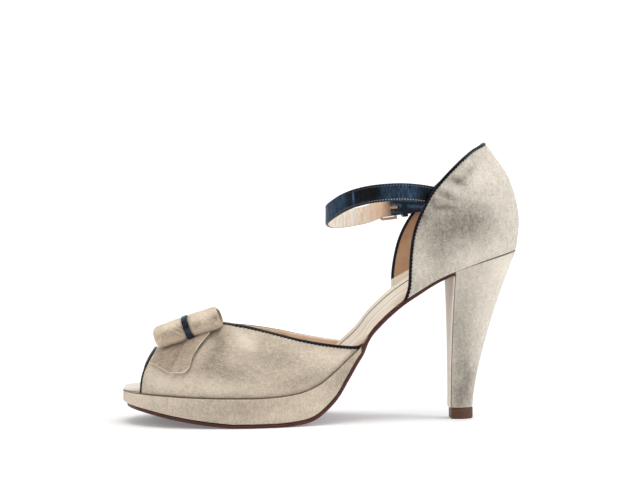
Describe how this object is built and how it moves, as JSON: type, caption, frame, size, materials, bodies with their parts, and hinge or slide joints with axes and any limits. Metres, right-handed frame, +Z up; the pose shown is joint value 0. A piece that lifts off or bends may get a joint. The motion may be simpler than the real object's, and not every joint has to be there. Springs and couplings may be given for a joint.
{
  "type": "high-heeled peep-toe platform sandal",
  "caption": "Suede peep-toe platform sandal with a closed heel counter, patent bindings, a buckled ankle strap and a bow, for the right foot.",
  "frame": {"origin": "on the floor under the tread, the flat spot of the outsole below the ball of the foot", "axes": "+X from the toe to the heel, +Z up, -Y towards the inner (medial) side of this right foot"},
  "size_m": [0.2247, 0.0804, 0.1576],
  "materials": {
    "suede": "pale beige suede with a short nap",
    "patent": "navy patent, high gloss",
    "sole_leather": "dark brown, satin",
    "insole_leather": "cream, smooth and matt",
    "breast_leather": "pale beige, smooth",
    "top_piece": "brown, matt",
    "buckle_metal": "polished, pinkish gold"
  },
  "bodies": {
    "root": {"outsole": "sole_leather", "platform": "suede", "insole": "insole_leather", "vamp": "suede", "vamp_topline_binding": "patent", "toe_binding": "patent", "counter": "suede", "counter_binding": "patent", "heel": "suede", "heel_breast": "breast_leather", "heel_tip": "top_piece", "ankle_strap": "patent", "buckle_strap": "patent", "buckle": "buckle_metal", "buckle_prong": "buckle_metal", "strap_keeper": "patent", "bow_roll": "suede", "bow_band": "patent", "bow_tail_front": "suede", "bow_tail_back": "suede"}
  },
  "joints": []
}
